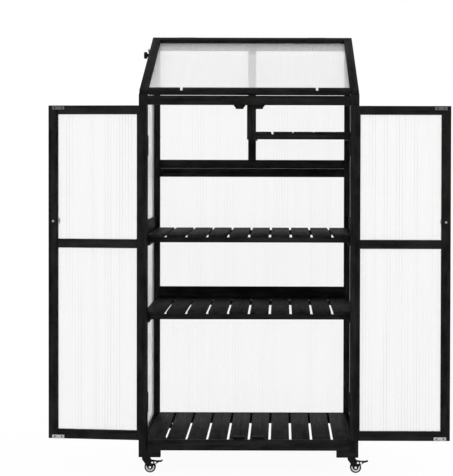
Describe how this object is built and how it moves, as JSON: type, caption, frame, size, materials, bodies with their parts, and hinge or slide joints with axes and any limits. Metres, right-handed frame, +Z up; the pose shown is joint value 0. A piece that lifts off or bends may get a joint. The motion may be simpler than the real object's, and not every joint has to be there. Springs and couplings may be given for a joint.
{
  "type": "wooden mini greenhouse",
  "caption": "Black wooden mini greenhouse on casters with open double doors, a sloped lift-up lid, slatted shelves and translucent twin-wall sheets.",
  "frame": {"origin": "middle of the bounding box at floor level, where the wheels stand", "axes": "+Z up, +Y to the back of the cabinet (the doors are at -Y), +X to the right seen from the front"},
  "size_m": [1.4094, 0.6016, 1.5758],
  "materials": {
    "black_wood": "satin black stain",
    "twin_wall_sheet": "translucent twin-wall polycarbonate",
    "plated_steel": "zinc plated",
    "black_steel": "black coated",
    "black_plastic": "satin",
    "wheel_plastic": "satin"
  },
  "bodies": {
    "cabinet": {"side_frame_left": "black_wood", "side_frame_right": "black_wood", "front_top_rail": "black_wood", "front_bottom_rail": "black_wood", "back_frame_upper": "black_wood", "back_rail_middle": "black_wood", "back_rail_bottom": "black_wood", "back_rail_shelf": "black_wood", "shelf_lower": "black_wood", "shelf_upper": "black_wood", "deck": "black_wood", "half_shelf_hanger": "black_wood", "shelf_half": "black_wood", "caster_board_left": "black_wood", "caster_board_right": "black_wood", "side_sheet_upper_left": "twin_wall_sheet", "side_sheet_upper_right": "twin_wall_sheet", "side_sheet_lower_left": "twin_wall_sheet", "side_sheet_lower_right": "twin_wall_sheet", "back_sheet_upper": "twin_wall_sheet", "back_sheet_lower": "twin_wall_sheet", "catch_top_left": "black_plastic", "catch_top_right": "black_plastic", "catch_bottom_left": "black_plastic", "catch_bottom_right": "black_plastic", "post_hinge_upper_left": "black_steel", "post_hinge_upper_right": "black_steel", "post_hinge_lower_left": "black_steel", "post_hinge_lower_right": "black_steel", "lid_hinge_fixed_left": "black_steel", "lid_hinge_fixed_right": "black_steel"},
    "door_left": {"door_frame_left": "black_wood", "door_sheet_upper_left": "twin_wall_sheet", "door_sheet_lower_left": "twin_wall_sheet", "door_knob_left": "black_plastic", "door_hinge_upper_left": "black_steel", "door_hinge_lower_left": "black_steel"},
    "door_right": {"door_frame_right": "black_wood", "door_sheet_upper_right": "twin_wall_sheet", "door_sheet_lower_right": "twin_wall_sheet", "door_knob_right": "black_plastic", "door_hinge_upper_right": "black_steel", "door_hinge_lower_right": "black_steel"},
    "lid": {"lid_frame": "black_wood", "lid_sheet": "twin_wall_sheet", "lid_hinge_moving_left": "black_steel", "lid_hinge_moving_right": "black_steel", "lid_stay_pivot": "plated_steel"},
    "stay": {"lid_stay": "black_steel"},
    "stay_knob": {"stay_knob": "black_plastic"},
    "fork_front_left": {"caster_fork_front_left": "black_steel"},
    "wheel_front_left": {"caster_wheel_front_left": "wheel_plastic"},
    "pedal_front_left": {"brake_pedal_front_left": "black_plastic"},
    "fork_front_right": {"caster_fork_front_right": "black_steel"},
    "wheel_front_right": {"caster_wheel_front_right": "wheel_plastic"},
    "pedal_front_right": {"brake_pedal_front_right": "black_plastic"},
    "fork_back_left": {"caster_fork_back_left": "black_steel"},
    "wheel_back_left": {"caster_wheel_back_left": "wheel_plastic"},
    "fork_back_right": {"caster_fork_back_right": "black_steel"},
    "wheel_back_right": {"caster_wheel_back_right": "wheel_plastic"}
  },
  "joints": [
    {"name": "door_left_swing", "type": "hinge", "parent": "cabinet", "child": "door_left", "pos_m": [-0.354, -0.2808, 0.7], "axis": [0, 0, 1], "range_deg": [-6, 186.5]},
    {"name": "door_right_swing", "type": "hinge", "parent": "cabinet", "child": "door_right", "pos_m": [0.354, -0.2808, 0.7], "axis": [0, 0, -1], "range_deg": [-10, 180]},
    {"name": "lid_lift", "type": "hinge", "parent": "cabinet", "child": "lid", "pos_m": [0, 0.2978, 1.56614], "axis": [-1, 0, 0], "range_deg": [0, 60]},
    {"name": "stay_swing", "type": "hinge", "parent": "lid", "child": "stay", "pos_m": [-0.388, 0.15557, 1.51568], "axis": [-1, 0, 0], "range_deg": [-30, 0]},
    {"name": "stay_knob_turn", "type": "hinge", "parent": "cabinet", "child": "stay_knob", "pos_m": [-0.39, 0.1632, 1.49788], "axis": [-1, 0, 0], "continuous": true},
    {"name": "caster_swivel_front_left", "type": "hinge", "parent": "cabinet", "child": "fork_front_left", "pos_m": [-0.363, -0.2408, 0.06], "axis": [0, 0, 1], "continuous": true},
    {"name": "wheel_spin_front_left", "type": "hinge", "parent": "fork_front_left", "child": "wheel_front_left", "pos_m": [-0.348, -0.2408, 0.02], "axis": [0, 1, 0], "continuous": true},
    {"name": "brake_press_front_left", "type": "hinge", "parent": "fork_front_left", "child": "pedal_front_left", "pos_m": [-0.3293, -0.2408, 0.037], "axis": [0, 1, 0], "range_deg": [0, 15]},
    {"name": "caster_swivel_front_right", "type": "hinge", "parent": "cabinet", "child": "fork_front_right", "pos_m": [0.363, -0.2408, 0.06], "axis": [0, 0, 1], "continuous": true},
    {"name": "wheel_spin_front_right", "type": "hinge", "parent": "fork_front_right", "child": "wheel_front_right", "pos_m": [0.378, -0.2408, 0.02], "axis": [0, 1, 0], "continuous": true},
    {"name": "brake_press_front_right", "type": "hinge", "parent": "fork_front_right", "child": "pedal_front_right", "pos_m": [0.3967, -0.2408, 0.037], "axis": [0, 1, 0], "range_deg": [0, 15]},
    {"name": "caster_swivel_back_left", "type": "hinge", "parent": "cabinet", "child": "fork_back_left", "pos_m": [-0.363, 0.2572, 0.06], "axis": [0, 0, 1], "continuous": true},
    {"name": "wheel_spin_back_left", "type": "hinge", "parent": "fork_back_left", "child": "wheel_back_left", "pos_m": [-0.348, 0.2572, 0.02], "axis": [0, 1, 0], "continuous": true},
    {"name": "caster_swivel_back_right", "type": "hinge", "parent": "cabinet", "child": "fork_back_right", "pos_m": [0.363, 0.2572, 0.06], "axis": [0, 0, 1], "continuous": true},
    {"name": "wheel_spin_back_right", "type": "hinge", "parent": "fork_back_right", "child": "wheel_back_right", "pos_m": [0.378, 0.2572, 0.02], "axis": [0, 1, 0], "continuous": true}
  ],
  "couplings": [
    {"joint": "stay_swing", "follows": "lid_lift", "ratio": -0.5}
  ]
}
